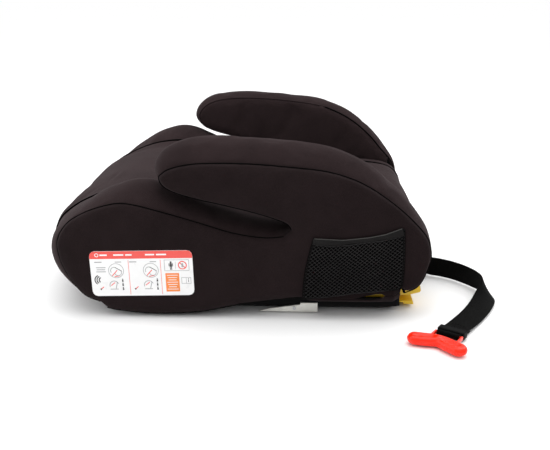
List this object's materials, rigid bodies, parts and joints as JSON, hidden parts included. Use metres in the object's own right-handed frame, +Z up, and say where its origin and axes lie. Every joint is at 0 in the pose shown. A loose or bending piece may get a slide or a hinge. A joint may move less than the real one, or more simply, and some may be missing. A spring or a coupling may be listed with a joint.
{
  "type": "booster seat",
  "caption": "Backless child booster seat with padded armrests, lap-belt slots, pull-out lower-anchor connectors and a shoulder-belt positioning strap with clip.",
  "frame": {"origin": "on the floor, under the middle of the seat's bounding box without the strap, its keeper and clip", "axes": "+Y towards the seat's rear, +Z up, +X the occupant's left"},
  "size_m": [0.506, 0.5226, 0.1965],
  "materials": {
    "cover_fabric": "charcoal knitted polyester laminated to thin foam",
    "mesh_fabric": "open black diamond mesh",
    "elastic_band": "woven elastic",
    "foam": "open-cell polyurethane foam",
    "black_plastic": "fine-grained moulded polypropylene",
    "yellow_plastic": "yellow moulded nylon",
    "red_plastic": "glossy red moulded plastic",
    "steel": "bright plated steel",
    "zinc_plate": "dull zinc-plated sheet steel",
    "rubber": "black rubber",
    "label_film": null,
    "webbing": "black woven polyester webbing"
  },
  "bodies": {
    "seat_body": {"arm_core_left": "black_plastic", "arm_core_right": "black_plastic", "arm_edge_cover_left": "cover_fabric", "arm_edge_cover_right": "cover_fabric", "arm_inner_cover_left": "cover_fabric", "arm_inner_cover_right": "cover_fabric", "belt_strap": "webbing", "bolster_cover_left": "cover_fabric", "bolster_cover_right": "cover_fabric", "bolster_foam_left": "foam", "bolster_foam_right": "foam", "bottom_tray": "black_plastic", "bracket_rivet_left": "steel", "bracket_rivet_right": "steel", "guide_rail_left": "zinc_plate", "guide_rail_right": "zinc_plate", "instruction_label": "label_film", "mesh_pocket_left": "mesh_fabric", "mesh_pocket_right": "mesh_fabric", "pawl_bracket": "zinc_plate", "pawl_pin": "steel", "pawl_spring": "steel", "pocket_elastic_left": "elastic_band", "pocket_elastic_right": "elastic_band", "rail_bracket_left": "zinc_plate", "rail_bracket_right": "zinc_plate", "rubber_foot_1": "rubber", "rubber_foot_2": "rubber", "rubber_foot_3": "rubber", "rubber_foot_4": "rubber", "seat_cover": "cover_fabric", "seat_foam": "foam", "seat_shell": "black_plastic", "side_cover_left": "cover_fabric", "side_cover_right": "cover_fabric", "strap_anchor": "steel", "strap_bezel": "black_plastic", "strap_keeper": "black_plastic", "tray_screw_1": "steel", "tray_screw_2": "steel", "tray_screw_3": "steel", "tray_screw_4": "steel"},
    "isofix_carriage": {"connector_arm_left": "steel", "connector_arm_right": "steel", "connector_housing_left": "yellow_plastic", "connector_housing_right": "yellow_plastic", "hook_pin_left": "steel", "hook_pin_right": "steel", "hook_spring_left": "steel", "hook_spring_right": "steel", "cross_bar": "steel", "lock_rack": "zinc_plate"},
    "release_left": {"release_slider_left": "yellow_plastic"},
    "release_right": {"release_slider_right": "yellow_plastic"},
    "hook_left": {"latch_hook_left": "steel"},
    "hook_right": {"latch_hook_right": "steel"},
    "adjust_pull": {"adjust_handle": "black_plastic", "pull_rod": "steel"},
    "pawl": {"lock_pawl": "steel"},
    "clip": {"belt_clip": "red_plastic"}
  },
  "joints": [
    {"name": "isofix_slide", "type": "slide", "parent": "seat_body", "child": "isofix_carriage", "axis": [0, 1, 0], "range_m": [0, 0.05]},
    {"name": "handle_pull", "type": "slide", "parent": "seat_body", "child": "adjust_pull", "axis": [0, -1, 0], "range_m": [0, 0.008], "stiffness_N_per_m": 900, "springref_m": -0.004},
    {"name": "pawl_turn", "type": "hinge", "parent": "seat_body", "child": "pawl", "pos_m": [0, 0.078, 0.03], "axis": [1, 0, 0], "range_deg": [0, 25.1]},
    {"name": "clip_swing", "type": "hinge", "parent": "seat_body", "child": "clip", "pos_m": [0.252, 0.2307, 0.0066], "axis": [-0.5501, -0.8351, 0], "range_deg": [0, 60]},
    {"name": "release_left_slide", "type": "slide", "parent": "isofix_carriage", "child": "release_left", "axis": [0, -1, 0], "range_m": [0, 0.008], "stiffness_N_per_m": 700, "springref_m": -0.004},
    {"name": "hook_left_turn", "type": "hinge", "parent": "isofix_carriage", "child": "hook_left", "pos_m": [0.14, 0.184, 0.0215], "axis": [1, 0, 0], "range_deg": [0, 40.1]},
    {"name": "release_right_slide", "type": "slide", "parent": "isofix_carriage", "child": "release_right", "axis": [0, -1, 0], "range_m": [0, 0.008], "stiffness_N_per_m": 700, "springref_m": -0.004},
    {"name": "hook_right_turn", "type": "hinge", "parent": "isofix_carriage", "child": "hook_right", "pos_m": [-0.14, 0.184, 0.0215], "axis": [1, 0, 0], "range_deg": [0, 40.1]}
  ],
  "couplings": [
    {"joint": "pawl_turn", "follows": "handle_pull", "rad_per_m": 54.5},
    {"joint": "hook_left_turn", "follows": "release_left_slide", "rad_per_m": 87.2},
    {"joint": "hook_right_turn", "follows": "release_right_slide", "rad_per_m": 87.2}
  ]
}
